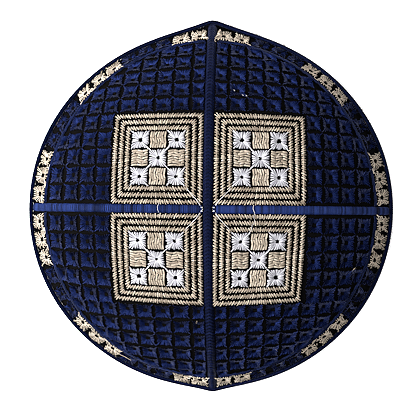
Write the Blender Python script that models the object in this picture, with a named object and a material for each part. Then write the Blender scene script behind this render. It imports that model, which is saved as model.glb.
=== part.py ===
"""A round embroidered kufi, resting on its brim.

Four quarter gores make a low dome, a side band stands below them, and a bound edge closes
the brim. Satin-stitched bars cover the seams, a satin line runs round the crown, and a
square embroidered medallion lies on each gore. The pieces on the crown are cut flat, as
cloth is, with their corner at the apex, and are then laid on the dome. The hat was folded
for storage along its front-to-back seam, so that a crease stands out at each end of it.

Metres, +Z up, -Y the front and +X the wearer's left. Left and right in names are those of
the hat seen from above with its front nearest. The origin is the middle of the brim, on the
surface that the hat rests on.
"""
import math

import bmesh
import bpy
from mathutils import Vector

MM = 0.001

# The crown: cloth lengths are measured along the cloth from the apex to the shoulder
SHOULDER_HALF_WIDTH = 93.4 * MM
SHOULDER_HALF_LENGTH = 91.4 * MM
CLOTH_TO_SIDE = 100.7 * MM
CLOTH_TO_END = 107.7 * MM
APEX_HEIGHT = 82.0 * MM
SHOULDER_HEIGHT_SIDE = 46.0 * MM
SHOULDER_HEIGHT_END = 41.0 * MM
PULL_IN_POWER = 4.0
FALL_POWER = 2.4
APEX_Y = -1.8 * MM

# The creases left by folding the hat flat, at the ends of the long seam
CREASES = (
    {"azimuth": 89.4, "stands_out": 6.0 * MM, "spread": 8.5},
    {"azimuth": 270.6, "stands_out": 2.4 * MM, "spread": 4.5},
)
CREASE_ROUNDING = 1.2

# The side band and the brim
BRIM_HALF_WIDTH = 93.3 * MM
BRIM_HALF_LENGTH = 92.4 * MM
BRIM_CREASE_SHARE = 0.6
BAND_BULGE = 0.8 * MM
BAND_WAVE = 0.5 * MM
BAND_WAVES_ROUND = 3
BINDING_HEIGHT = 7.0 * MM
BINDING_THICK = 0.9 * MM

# Cloth and clearances
WALL = 2.0 * MM
GAP = 0.3 * MM
SEAM_GAP = 0.17 * MM
SHOULDER_GAP = 0.42 * MM

# Satin-stitched bars, lines and the cord
LONG_SEAM_WIDTH = 4.3 * MM
SIDE_SEAM_WIDTH = 3.9 * MM
SEAM_HEIGHT = 0.8 * MM
SEAM_END_CLEAR = 1.3 * MM
RING_WIDTH = 1.9 * MM
RING_HEIGHT = 0.6 * MM
RING_FROM_SHOULDER = 10.2 * MM
RING_FROM_CREASE = 0.75
RING_END_CLEAR = 2.8 * MM
CORD_RADIUS = 0.9 * MM
CORD_STAND_OFF = 1.15 * MM

# The medallions: square frames of satin bars round a checker of nine blocks
MEDALLION_FROM_LONG_SEAM = 2.9 * MM
MEDALLION_FROM_SIDE_SEAM = 2.35 * MM
MEDALLION_SIDE = 47.6 * MM
FRAME_WIDTH = 2.5 * MM
FRAME_PITCH = 3.4 * MM
FRAME_HEIGHT = 0.5 * MM
FRAME_NAMES = ("outer", "middle", "inner")
CHECKER_MARGIN = 0.6 * MM
CHECKER_GAP = 0.9 * MM
CHECKER_BASE = 0.25 * MM
CHECKER_RISE = 0.3 * MM

# How finely the facets follow the curves
STEPS_IN_QUARTER = 18
STEPS_OUT = 10
CROWDING = 1.3
FRAME_STEPS = 5
BAND_LEVELS = 4
SEAM_STEP = 6.0 * MM
CORD_SIDES = 6
PROBE = 0.2 * MM

# Each gore runs from a side seam to an end seam; hand sewing left them not quite square
GORES = (
    {"name": "back_right", "side_seam": -0.6, "end_seam": 89.4},
    {"name": "back_left", "side_seam": 179.3, "end_seam": 89.4},
    {"name": "front_left", "side_seam": 179.3, "end_seam": 270.6},
    {"name": "front_right", "side_seam": 359.4, "end_seam": 270.6},
)

MATERIALS = {
    "ground_cloth": {"colour": (0.012, 0.012, 0.016), "roughness": 0.85},
    "navy_satin": {"colour": (0.022, 0.035, 0.13), "roughness": 0.45},
    "beige_satin": {"colour": (0.62, 0.51, 0.36), "roughness": 0.5},
    "white_satin": {"colour": (0.78, 0.77, 0.8), "roughness": 0.5},
}


def oval(azimuth, half_x, half_y):
    """The radius of an ellipse towards an azimuth in radians."""
    return 1.0 / math.hypot(math.cos(azimuth) / half_x, math.sin(azimuth) / half_y)


def crease(azimuth):
    """How far the folded creases stand out at the shoulder, towards an azimuth."""
    total = 0.0
    for fold in CREASES:
        away = (math.degrees(azimuth) - fold["azimuth"] + 180.0) % 360.0 - 180.0
        rounded = math.hypot(away, CREASE_ROUNDING) - CREASE_ROUNDING
        total += fold["stands_out"] * math.exp(-rounded / fold["spread"])
    return total


def shoulder_radius(azimuth):
    return oval(azimuth, SHOULDER_HALF_WIDTH, SHOULDER_HALF_LENGTH) + crease(azimuth)


def shoulder_height(azimuth):
    towards_end = math.sin(azimuth) ** 2
    return SHOULDER_HEIGHT_SIDE + (SHOULDER_HEIGHT_END - SHOULDER_HEIGHT_SIDE) * towards_end


def cloth_length(azimuth):
    return oval(azimuth, CLOTH_TO_SIDE, CLOTH_TO_END)


def ring_distance(azimuth):
    """Cloth length from the apex to the ring line, which keeps clear of the creases."""
    return cloth_length(azimuth) - RING_FROM_SHOULDER - RING_FROM_CREASE * crease(azimuth)


def polar(azimuth, radius, height):
    return Vector((radius * math.cos(azimuth), radius * math.sin(azimuth) + APEX_Y, height))


def crown_surface(x, y):
    """The dome's outer face, where the flat cloth's point (x, y) from the apex comes to lie."""
    azimuth = math.atan2(y, x)
    along = math.hypot(x, y)
    length = cloth_length(azimuth)
    share = along / length
    radius = along - (length - shoulder_radius(azimuth)) * share**PULL_IN_POWER
    fall = (APEX_HEIGHT - shoulder_height(azimuth)) * share**FALL_POWER
    return polar(azimuth, radius, APEX_HEIGHT - fall)


def band_surface(azimuth, height):
    """The side band's outer face at a height above the brim."""
    down = 1.0 - height / shoulder_height(azimuth)
    brim = oval(azimuth, BRIM_HALF_WIDTH, BRIM_HALF_LENGTH) + BRIM_CREASE_SHARE * crease(azimuth)
    wave = BAND_WAVE * down * math.cos(BAND_WAVES_ROUND * azimuth)
    radius = shoulder_radius(azimuth) * (1.0 - down) + brim * down
    radius += BAND_BULGE * math.sin(math.pi * down) + wave
    return polar(azimuth, radius, height)


def on_crown(x, y, lift):
    """A point of the dome, raised from its outer face by lift."""
    across = crown_surface(x + PROBE, y) - crown_surface(x - PROBE, y)
    along = crown_surface(x, y + PROBE) - crown_surface(x, y - PROBE)
    return crown_surface(x, y) + across.cross(along).normalized() * lift


def on_band(azimuth, height, lift):
    """A point of the side band, moved out level from its outer face by lift."""
    turn = PROBE / SHOULDER_HALF_WIDTH
    around = band_surface(azimuth + turn, height) - band_surface(azimuth - turn, height)
    outward = Vector((around.y, -around.x, 0.0)).normalized()
    return band_surface(azimuth, height) + outward * lift


def on_gore(gore, u, v, lift):
    """Lays the point (u, v) of a gore's flat pattern on the dome.

    u runs along the side seam and v along the end seam, both from the apex.
    """
    quarter = math.atan2(v, u) / (math.pi / 2)
    side, end = math.radians(gore["side_seam"]), math.radians(gore["end_seam"])
    azimuth = side + (end - side) * quarter
    along = math.hypot(u, v)
    return on_crown(along * math.cos(azimuth), along * math.sin(azimuth), lift)


def quarter_turns():
    """Angles of a flat gore from its side seam to its end seam, closer near the crease."""
    steps = STEPS_IN_QUARTER
    return [math.pi / 2 * (1 - (1 - i / steps) ** CROWDING) for i in range(steps + 1)]


def round_azimuths():
    """Azimuths once round the hat, anticlockwise, with one on each seam."""
    turns = quarter_turns()
    azimuths = []
    for gore in GORES:
        side, end = math.radians(gore["side_seam"]), math.radians(gore["end_seam"])
        found = [side + (end - side) * turn / (math.pi / 2) for turn in turns]
        if end < side:
            found.reverse()
        azimuths += found[:-1]
    return azimuths


def finish_piece(bm, name, material):
    """Turns closed mesh data into a named object with its material."""
    bmesh.ops.recalc_face_normals(bm, faces=bm.faces)
    if bm.calc_volume(signed=True) < 0.0:
        bmesh.ops.reverse_faces(bm, faces=bm.faces)
    mesh = bpy.data.meshes.new(name)
    bm.to_mesh(mesh)
    bm.free()
    mesh.shade_smooth()
    mesh.set_sharp_from_angle(angle=math.radians(40))
    mesh.materials.append(material)
    piece = bpy.data.objects.new(name, mesh)
    bpy.context.scene.collection.objects.link(piece)
    return piece


def skin_sections(bm, sections, closed):
    """Joins sections of equal point counts into a tube; an open one gets flat ends."""
    loops = [[bm.verts.new(point) for point in section] for section in sections]
    count = len(loops[0])
    pairs = list(zip(loops, loops[1:]))
    if closed:
        pairs.append((loops[-1], loops[0]))
    for one, two in pairs:
        for i in range(count):
            j = (i + 1) % count
            bm.faces.new((one[i], one[j], two[j], two[i]))
    if not closed:
        bm.faces.new(loops[0])
        bm.faces.new(loops[-1])


def bar_section(width, height):
    """A satin bar across its length: a rounded back over a foot with a middle point."""
    return (
        (-width / 2, GAP),
        (-width / 4, GAP + 0.75 * height),
        (0.0, GAP + height),
        (width / 4, GAP + 0.75 * height),
        (width / 2, GAP),
        (0.0, GAP),
    )


def spread(start, stop, steps):
    return [start + (stop - start) * i / steps for i in range(steps + 1)]


def make_gore(gore, material):
    """A quarter of the crown: a fan of cloth cut flat, thickened, and laid on the dome."""
    bm = bmesh.new()
    corner = bm.verts.new((SEAM_GAP, SEAM_GAP, 0.0))
    rays = []
    for turn in quarter_turns():
        side, end = math.radians(gore["side_seam"]), math.radians(gore["end_seam"])
        length = cloth_length(side + (end - side) * turn / (math.pi / 2))
        u = max(length * math.cos(turn), SEAM_GAP)
        v = max(length * math.sin(turn), SEAM_GAP)
        rays.append([
            bm.verts.new((SEAM_GAP + (u - SEAM_GAP) * out, SEAM_GAP + (v - SEAM_GAP) * out, 0.0))
            for out in spread(0.0, 1.0, STEPS_OUT)[1:]
        ])
    for one, two in zip(rays, rays[1:]):
        bm.faces.new((corner, one[0], two[0]))
        for i in range(STEPS_OUT - 1):
            bm.faces.new((one[i], one[i + 1], two[i + 1], two[i]))
    thick = bmesh.ops.extrude_face_region(bm, geom=bm.faces[:])
    lower = [part for part in thick["geom"] if isinstance(part, bmesh.types.BMVert)]
    bmesh.ops.translate(bm, verts=lower, vec=(0.0, 0.0, -WALL))
    for vert in bm.verts:
        vert.co = on_gore(gore, *vert.co)
    return finish_piece(bm, "gore_" + gore["name"], material)


def seam_path(azimuth, start, stop):
    """Distances from the apex along a seam, with the azimuth and a step every few mm."""
    steps = max(2, round((stop - start) / SEAM_STEP))
    return [(azimuth, along) for along in spread(start, stop, steps)]


def crown_bar_sections(path, width, height):
    """Sections of a satin bar along a seam of the crown."""
    sections = []
    for azimuth, along in path:
        ahead = Vector((math.cos(azimuth), math.sin(azimuth)))
        aside = Vector((-ahead.y, ahead.x))
        places = [(ahead * along + aside * off, lift) for off, lift in bar_section(width, height)]
        sections.append([on_crown(flat.x, flat.y, lift) for flat, lift in places])
    return sections


def make_long_seam(material):
    """The satin bar over the front-to-back seam, in one run over the apex."""
    front = math.radians(GORES[2]["end_seam"])
    back = math.radians(GORES[0]["end_seam"])
    reach = CLOTH_TO_END - SEAM_END_CLEAR
    clear = SEAM_STEP / 2
    size = (LONG_SEAM_WIDTH, SEAM_HEIGHT)
    front_half = crown_bar_sections(reversed(seam_path(front, clear, reach)), *size)
    back_half = crown_bar_sections(seam_path(back, clear, reach), *size)
    turned = [[section[i] for i in (4, 3, 2, 1, 0, 5)] for section in front_half]
    bm = bmesh.new()
    skin_sections(bm, turned + back_half, closed=False)
    return finish_piece(bm, "seam_front_to_back", material)


def make_side_seam(name, azimuth_deg, material):
    """The satin bar over a side seam, from beside the long seam to the shoulder."""
    start = LONG_SEAM_WIDTH / 2 + 2 * GAP
    path = seam_path(math.radians(azimuth_deg), start, CLOTH_TO_SIDE - SEAM_END_CLEAR)
    bm = bmesh.new()
    skin_sections(bm, crown_bar_sections(path, SIDE_SEAM_WIDTH, SEAM_HEIGHT), closed=False)
    return finish_piece(bm, name, material)


def make_band_seam(name, azimuth_deg, material):
    """The satin bar down a crease of the side band, from the cord to the binding."""
    azimuth = math.radians(azimuth_deg)
    top = shoulder_height(azimuth) - CORD_RADIUS - 2 * GAP
    sections = []
    for height in spread(BINDING_HEIGHT + GAP, top, BAND_LEVELS):
        section = bar_section(LONG_SEAM_WIDTH, SEAM_HEIGHT)
        sections.append([
            on_band(azimuth + off / SHOULDER_HALF_WIDTH, height, lift) for off, lift in section
        ])
    bm = bmesh.new()
    skin_sections(bm, sections, closed=False)
    return finish_piece(bm, name, material)


def make_ring_line(gore, material):
    """The satin line round the crown, where it crosses one gore."""
    side, end = math.radians(gore["side_seam"]), math.radians(gore["end_seam"])
    sections = []
    clear = RING_END_CLEAR / CLOTH_TO_SIDE
    for turn in quarter_turns():
        turn = min(max(turn, clear), math.pi / 2 - clear)
        along = ring_distance(side + (end - side) * turn / (math.pi / 2))
        sections.append([
            on_gore(gore, (along + off) * math.cos(turn), (along + off) * math.sin(turn), lift)
            for off, lift in bar_section(RING_WIDTH, RING_HEIGHT)
        ])
    bm = bmesh.new()
    skin_sections(bm, sections, closed=False)
    return finish_piece(bm, "ring_line_" + gore["name"], material)


def on_medallion(gore, across, along, lift):
    """Lays a point of a gore's medallion on the dome, from its middle in the flat pattern."""
    u = MEDALLION_FROM_LONG_SEAM + MEDALLION_SIDE / 2 + across
    v = MEDALLION_FROM_SIDE_SEAM + MEDALLION_SIDE / 2 + along
    return on_gore(gore, u, v, lift)


def make_frame(gore, number, material):
    """One square satin frame of a medallion, with mitred corners."""
    half = MEDALLION_SIDE / 2 - FRAME_PITCH * number
    rim = ((half, 0.0), (half - FRAME_WIDTH / 4, FRAME_HEIGHT),
           (half - 3 * FRAME_WIDTH / 4, FRAME_HEIGHT), (half - FRAME_WIDTH, 0.0))
    corners = [(-1.0, -1.0), (1.0, -1.0), (1.0, 1.0), (-1.0, 1.0)]
    sections = []
    for (u0, v0), (u1, v1) in zip(corners, corners[1:] + corners[:1]):
        for share in spread(0.0, 1.0, FRAME_STEPS)[:-1]:
            u, v = u0 + (u1 - u0) * share, v0 + (v1 - v0) * share
            sections.append([
                on_medallion(gore, u * size, v * size, GAP + lift) for size, lift in rim
            ])
    bm = bmesh.new()
    skin_sections(bm, sections, closed=True)
    name = "frame_" + FRAME_NAMES[number] + "_" + gore["name"]
    return finish_piece(bm, name, material)


def make_checker(gore, beige, white):
    """The nine blocks in a medallion, raised from one thin bed; corners and middle are white."""
    inset = FRAME_PITCH * (len(FRAME_NAMES) - 1) + FRAME_WIDTH + CHECKER_MARGIN
    side = MEDALLION_SIDE - 2 * inset
    block = (side - 2 * CHECKER_GAP) / 3
    lines = []
    for number in range(3):
        first = number * (block + CHECKER_GAP) - side / 2
        lines += [first, first + block]
    bm = bmesh.new()
    grid = [[bm.verts.new((u, v, GAP + CHECKER_BASE)) for v in lines] for u in lines]
    blocks = []
    for i in range(len(lines) - 1):
        for j in range(len(lines) - 1):
            face = bm.faces.new((grid[i][j], grid[i + 1][j], grid[i + 1][j + 1], grid[i][j + 1]))
            if i % 2 == 0 and j % 2 == 0:
                face.material_index = (i + j) // 2 % 2
                blocks.append(face)
    bed = bmesh.ops.extrude_face_region(bm, geom=bm.faces[:])
    foot = [part for part in bed["geom"] if isinstance(part, bmesh.types.BMVert)]
    bmesh.ops.translate(bm, verts=foot, vec=(0.0, 0.0, -CHECKER_BASE))
    raised = bmesh.ops.extrude_discrete_faces(bm, faces=blocks)
    for face in raised["faces"]:
        bmesh.ops.translate(bm, verts=face.verts, vec=(0.0, 0.0, CHECKER_RISE))
    for vert in bm.verts:
        vert.co = on_medallion(gore, *vert.co)
    piece = finish_piece(bm, "checker_" + gore["name"], white)
    piece.data.materials.append(beige)
    return piece


def make_side_band(material):
    """The wall below the crown, cut at its top to the slant of the gores' edge."""
    sections = []
    foot = BINDING_THICK + GAP
    for azimuth in round_azimuths():
        top = shoulder_height(azimuth) - SHOULDER_GAP
        heights = spread(foot, top, BAND_LEVELS)
        inner_heights = spread(foot, top - WALL, BAND_LEVELS)
        outer = [on_band(azimuth, height, 0.0) for height in heights]
        inner = [on_band(azimuth, height, -WALL) for height in reversed(inner_heights)]
        sections.append(outer + inner)
    bm = bmesh.new()
    skin_sections(bm, sections, closed=True)
    return finish_piece(bm, "side_band", material)


def make_shoulder_cord(material):
    """The satin-covered cord in the corner between the crown and the band."""
    sections = []
    for azimuth in round_azimuths():
        height = shoulder_height(azimuth)
        middle = on_band(azimuth, height, CORD_STAND_OFF) + Vector((0.0, 0.0, CORD_STAND_OFF / 3))
        outward = (on_band(azimuth, height, 1.0) - on_band(azimuth, height, 0.0)).normalized()
        ring = []
        for i in range(CORD_SIDES):
            turn = 2 * math.pi * i / CORD_SIDES
            reach = outward * math.cos(turn) + Vector((0.0, 0.0, math.sin(turn)))
            ring.append(middle + reach * CORD_RADIUS)
        sections.append(ring)
    bm = bmesh.new()
    skin_sections(bm, sections, closed=True)
    return finish_piece(bm, "shoulder_cord", material)


def make_binding(material):
    """The folded tape that wraps the brim, with a flat foot for the hat to stand on."""
    outer_face, outer_back = GAP + BINDING_THICK, GAP
    inner_back, inner_face = -WALL - GAP, -WALL - GAP - BINDING_THICK
    fold = (
        (outer_face, 0.0), (outer_face, BINDING_HEIGHT), (outer_back, BINDING_HEIGHT),
        (outer_back, BINDING_THICK), (inner_back, BINDING_THICK), (inner_back, BINDING_HEIGHT),
        (inner_face, BINDING_HEIGHT), (inner_face, 0.0),
    )
    sections = [[on_band(azimuth, height, lift) for lift, height in fold]
                for azimuth in round_azimuths()]
    bm = bmesh.new()
    skin_sections(bm, sections, closed=True)
    return finish_piece(bm, "brim_binding", material)


def make_material(name, colour, roughness):
    material = bpy.data.materials.new(name)
    material.use_nodes = True
    shader = material.node_tree.nodes["Principled BSDF"]
    shader.inputs["Base Color"].default_value = (*colour, 1.0)
    shader.inputs["Roughness"].default_value = roughness
    return material


def main():
    for old in list(bpy.data.objects):
        bpy.data.objects.remove(old)
    made = {name: make_material(name, **look) for name, look in MATERIALS.items()}
    cloth, navy = made["ground_cloth"], made["navy_satin"]
    beige, white = made["beige_satin"], made["white_satin"]
    for gore in GORES:
        make_gore(gore, cloth)
        make_ring_line(gore, navy)
        for number in range(len(FRAME_NAMES)):
            make_frame(gore, number, beige)
        make_checker(gore, beige, white)
    make_long_seam(navy)
    make_side_seam("seam_right", GORES[0]["side_seam"], navy)
    make_side_seam("seam_left", GORES[1]["side_seam"], navy)
    make_band_seam("band_seam_back", GORES[0]["end_seam"], navy)
    make_band_seam("band_seam_front", GORES[2]["end_seam"], navy)
    make_side_band(cloth)
    make_shoulder_cord(navy)
    make_binding(navy)


main()
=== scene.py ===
"""The embroidered kufi seen from above, on a plain pale floor in soft studio light.

The dome, the band and the brim are drawn by the same functions as the solids, only finer.
Everything sewn on them is laid as separate threads: a thread is a short run of points in
the flat pattern of its cloth, which is then laid on the hat, and swept to a round strand.
"""
import math

import bpy
import numpy as np
from mathutils import Matrix, Vector


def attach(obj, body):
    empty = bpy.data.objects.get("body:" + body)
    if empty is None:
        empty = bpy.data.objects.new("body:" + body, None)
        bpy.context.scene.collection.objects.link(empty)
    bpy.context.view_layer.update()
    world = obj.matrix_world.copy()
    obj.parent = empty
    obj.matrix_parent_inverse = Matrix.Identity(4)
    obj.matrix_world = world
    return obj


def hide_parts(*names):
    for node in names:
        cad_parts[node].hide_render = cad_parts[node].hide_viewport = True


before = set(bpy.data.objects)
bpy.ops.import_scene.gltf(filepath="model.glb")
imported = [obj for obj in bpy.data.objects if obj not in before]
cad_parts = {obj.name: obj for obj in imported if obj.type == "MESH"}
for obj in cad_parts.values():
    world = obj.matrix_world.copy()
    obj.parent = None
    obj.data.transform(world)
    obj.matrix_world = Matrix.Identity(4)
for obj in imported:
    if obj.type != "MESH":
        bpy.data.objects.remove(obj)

MM = 0.001
RNG = np.random.default_rng(58)
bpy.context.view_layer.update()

# The crown: cloth lengths are measured along the cloth from the apex to the shoulder
SHOULDER_HALF_WIDTH = 93.4 * MM
SHOULDER_HALF_LENGTH = 91.4 * MM
CLOTH_TO_SIDE = 100.7 * MM
CLOTH_TO_END = 107.7 * MM
APEX_HEIGHT = 82.0 * MM
APEX_Y = -1.8 * MM
SHOULDER_HEIGHT_SIDE = 46.0 * MM
SHOULDER_HEIGHT_END = 41.0 * MM
PULL_IN_POWER = 4.0
FALL_POWER = 2.4
CREASES = ((89.4, 6.0 * MM, 8.5), (270.6, 2.4 * MM, 4.5))
CREASE_ROUNDING = 1.2

# The side band and the brim
BRIM_HALF_WIDTH = 93.3 * MM
BRIM_HALF_LENGTH = 92.4 * MM
BRIM_CREASE_SHARE = 0.6
BAND_BULGE = 0.8 * MM
BAND_WAVE = 0.5 * MM
BAND_WAVES_ROUND = 3
BINDING_HEIGHT = 7.0 * MM
BINDING_THICK = 0.9 * MM
WALL = 2.0 * MM
GAP = 0.3 * MM
SEAM_GAP = 0.17 * MM
SHOULDER_GAP = 0.42 * MM
CLOTH_BELOW_SOLID = 0.12 * MM

# Bars, lines and the cord
LONG_SEAM_WIDTH = 4.3 * MM
SIDE_SEAM_WIDTH = 3.9 * MM
SEAM_HEIGHT = 0.8 * MM
SEAM_END_CLEAR = 1.3 * MM
RING_HEIGHT = 0.6 * MM
RING_FROM_SHOULDER = 10.2 * MM
RING_FROM_CREASE = 0.75
CORD_RADIUS = 0.9 * MM
CORD_STAND_OFF = 1.15 * MM

# The medallions
MEDALLION_CORNER = np.array([2.9, 2.35]) * MM
MEDALLION_SIDE = 47.6 * MM
FRAME_WIDTH = 2.5 * MM
FRAME_PITCH = 3.4 * MM
CHECKER_MARGIN = 0.6 * MM
CHECKER_GAP = 0.9 * MM
CHECKER_SLIP = {"back_left": 0.55 * MM}

# How far hand work has moved the corners of a medallion, as (u, v) in millimetres, from the
# corner at the apex round by the side seam
NOT_MOVED = ((0.0, 0.0),) * 4
HAND_SHIFTS = {
    "front_left": ((0.0, 0.0), (0.0, 0.0), (-0.3, -1.9), (0.0, 0.0)),
    "front_right": ((0.0, 0.0), (0.0, 0.0), (-2.0, -0.7), (-1.3, 0.5)),
}

# Each gore runs from a side seam to an end seam, at these azimuths in degrees
GORES = {
    "back_right": (-0.6, 89.4),
    "back_left": (179.3, 89.4),
    "front_left": (179.3, 270.6),
    "front_right": (359.4, 270.6),
}

# The star stitches on the crown, by the middles and half sizes of their cells in the flat
# pattern of a gore: beside the medallion, against the long seam, below the medallion, and in
# the corner between
SIDE_COLUMNS = [u * MM for u in (54.9, 64.0, 73.3, 82.8, 92.0)]
SIDE_ROWS = [(8.1 + 9.45 * i) * MM for i in range(5)]
SIDE_HALVES = (3.8 * MM, 3.95 * MM)
SEAM_COLUMN = [5.85 * MM]
SEAM_HALVES = (3.0 * MM, 3.5 * MM)
END_COLUMNS = [(14.7 + 9.6 * i) * MM for i in range(4)]
END_ROWS = {"back": [(54.6 + 8.5 * i) * MM for i in range(6)],
            "front": [(53.3 + 8.6 * i) * MM for i in range(6)]}
END_HALVES = (4.05 * MM, 3.5 * MM)
CORNER_COLUMNS = [(53.2 + 9.3 * i) * MM for i in range(5)]
CORNER_HALVES = (3.9 * MM, 3.5 * MM)
STAR_FROM_RING = 1.35 * MM
STAR_FROM_LONG_SEAM = 2.75 * MM
STAR_FROM_SIDE_SEAM = 0.6 * MM
LEAST_OF_A_CELL = 0.22

# The row of stars outside the ring line, and the rows on the band under it, with the numbers
# of those that are beige; the stars stand at these turns in a gore's flat pattern
OUTER_TURNS = [math.radians(4.4 + 6.28 * i) for i in range(14)]
OUTER_HALF_TURN = math.radians(6.28) / 2
OUTER_FROM_RING = 5.35 * MM
OUTER_HALF = 4.15 * MM
OUTER_BEIGE = (0, 1, 2, 6, 7, 8, 12, 13)
BAND_ROWS = 4
BAND_BEIGE = (1, 4, 10, 11, 12)
BAND_STARS_CLEAR = 0.8 * MM
BAND_STARS_BELOW_CORD = 3.4 * MM

# Thread radii. Real thread is 0.1 mm in radius and its stitches lie 0.4 mm apart; both are
# drawn coarser in the frames and blocks, as a pixel of the picture is 0.53 mm.
THREAD = 0.21 * MM
SATIN_THREAD = 0.25 * MM
PADDING_THREAD = 0.42 * MM
FRAME_THREAD = 0.18 * MM
FRAME_PADDING = 0.45 * MM
BLOCK_THREAD = 0.19 * MM
LOOSE_THREAD = 0.13 * MM

# The distance from one pair of stitches to the next, and from one satin stitch to the next
FRAME_STITCH_PITCH = 1.42 * MM
BLOCK_STITCH_PITCH = 1.3 * MM
OPEN_SATIN_PITCH = 1.15 * MM
SATIN_PITCH = 0.42 * MM
CHEVRON_PITCH = 1.8 * MM
CHEVRON_SLOPE = 0.7

# Loose threads on the crown, as runs of (x, y) in millimetres from the apex
LOOSE_WHITE = (
    ((-24.8, 3.0), (-25.5, 1.4), (-25.4, 0.0), (-24.9, -1.5)),
    ((23.2, 2.2), (22.9, 0.2), (23.7, -1.8), (23.3, -3.9), (23.9, -6.5)),
    ((23.9, -6.5), (22.4, -8.2), (22.2, -10.4), (20.0, -13.1)),
    ((13.1, 62.4), (13.8, 61.8)),
    ((17.6, 59.9), (18.2, 59.3)),
    ((19.4, 59.6), (20.1, 59.0)),
)
LOOSE_BEIGE = (
    ((2.4, 93.2), (3.2, 92.6)),
    ((-6.0, -58.4), (-6.4, -59.8)),
    ((76.9, -33.6), (77.6, -32.4), (78.9, -31.6)),
    ((36.8, -77.8), (37.6, -78.9)),
    ((-55.6, -82.0), (-52.2, -84.6), (-50.0, -85.4), (-46.7, -88.4)),
)

# Where beige threads stand out past the cord: azimuths from and to in degrees, and how many
PAST_CORD = ((82.6, 86.2, 6), (74.0, 75.6, 3), (65.4, 66.6, 3), (28.4, 34.2, 8), (-12.6, -5.4, 9))


def linear(code):
    """A hex colour as linear red, green, blue and alpha."""
    parts = [int(code[i:i + 2], 16) / 255 for i in (1, 3, 5)]
    return (*(c / 12.92 if c <= 0.04045 else ((c + 0.055) / 1.055) ** 2.4 for c in parts), 1.0)


def fill_in(node, inputs):
    """Sets a node's inputs, by name or number, each to a value or to another node's output."""
    for key, value in inputs.items():
        if isinstance(value, bpy.types.NodeSocket):
            node.id_data.links.new(value, node.inputs[key])
        else:
            node.inputs[key].default_value = value


def add_node(tree, kind, inputs=None, result=0, **settings):
    """Adds a node with its settings, fills in its inputs, and gives one of its outputs."""
    node = tree.nodes.new(kind)
    for key, value in settings.items():
        setattr(node, key, value)
    fill_in(node, inputs or {})
    return node.outputs[result] if node.outputs else None


def points_of(*values):
    """Arrays and single numbers set side by side as points."""
    return np.stack(np.broadcast_arrays(*values), axis=-1)


def unit(vectors):
    return vectors / np.linalg.norm(vectors, axis=-1, keepdims=True)


# The hat's surfaces, on arrays

def oval(azimuth, half_x, half_y):
    return 1.0 / np.hypot(np.cos(azimuth) / half_x, np.sin(azimuth) / half_y)


def crease(azimuth):
    """How far the creases stand out of the oval, so that the hat folds flat along the long seam."""
    total = 0.0
    for middle, stands_out, spread in CREASES:
        away = (np.degrees(azimuth) - middle + 180.0) % 360.0 - 180.0
        rounded = np.hypot(away, CREASE_ROUNDING) - CREASE_ROUNDING
        total = total + stands_out * np.exp(-rounded / spread)
    return total


def shoulder_radius(azimuth):
    return oval(azimuth, SHOULDER_HALF_WIDTH, SHOULDER_HALF_LENGTH) + crease(azimuth)


def shoulder_height(azimuth):
    return SHOULDER_HEIGHT_SIDE + (SHOULDER_HEIGHT_END - SHOULDER_HEIGHT_SIDE) * np.sin(azimuth) ** 2


def cloth_length(azimuth):
    return oval(azimuth, CLOTH_TO_SIDE, CLOTH_TO_END)


def ring_distance(azimuth):
    """Along the cloth from the apex to the ring line."""
    return cloth_length(azimuth) - RING_FROM_SHOULDER - RING_FROM_CREASE * crease(azimuth)


def polar(azimuth, radius, height):
    return points_of(radius * np.cos(azimuth), radius * np.sin(azimuth) + APEX_Y, height)


def crown_surface(x, y):
    """The dome over a point that lies x and y from the apex along the cloth."""
    azimuth = np.arctan2(y, x)
    along = np.hypot(x, y)
    length = cloth_length(azimuth)
    share = along / length
    radius = along - (length - shoulder_radius(azimuth)) * share**PULL_IN_POWER
    fall = (APEX_HEIGHT - shoulder_height(azimuth)) * share**FALL_POWER
    return polar(azimuth, radius, APEX_HEIGHT - fall)


def on_crown(x, y, lift):
    probe = 0.2 * MM
    across = crown_surface(x + probe, y) - crown_surface(x - probe, y)
    along = crown_surface(x, y + probe) - crown_surface(x, y - probe)
    return crown_surface(x, y) + unit(np.cross(across, along)) * np.asarray(lift)[..., None]


def band_surface(azimuth, height):
    down = 1.0 - height / shoulder_height(azimuth)
    brim = oval(azimuth, BRIM_HALF_WIDTH, BRIM_HALF_LENGTH) + BRIM_CREASE_SHARE * crease(azimuth)
    wave = BAND_WAVE * down * np.cos(BAND_WAVES_ROUND * azimuth)
    radius = shoulder_radius(azimuth) * (1.0 - down) + brim * down
    return polar(azimuth, radius + BAND_BULGE * np.sin(np.pi * down) + wave, height)


def on_band(azimuth, height, lift):
    turn = 0.002
    around = band_surface(azimuth + turn, height) - band_surface(azimuth - turn, height)
    outward = unit(points_of(around[..., 1], -around[..., 0], 0.0))
    return band_surface(azimuth, height) + outward * np.asarray(lift)[..., None]


def gore_azimuth(gore, turn):
    """The azimuth on the hat of a turn in a gore's flat pattern, from its side seam."""
    side, end = np.radians(GORES[gore])
    return side + (end - side) * turn / (math.pi / 2)


def on_gore(gore):
    """The function that lays a point of a gore's flat pattern on the dome."""
    def lay(u, v, lift):
        along = np.hypot(u, v)
        azimuth = gore_azimuth(gore, np.arctan2(v, u))
        return on_crown(along * np.cos(azimuth), along * np.sin(azimuth), lift)
    return lay


def along_ring(gore):
    """The function that lays a point by its turn and its distance outside the ring line."""
    lay = on_gore(gore)

    def lay_round(turn, out, lift):
        along = ring_distance(gore_azimuth(gore, turn)) + out
        return lay(along * np.cos(turn), along * np.sin(turn), lift)
    return lay_round


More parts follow.
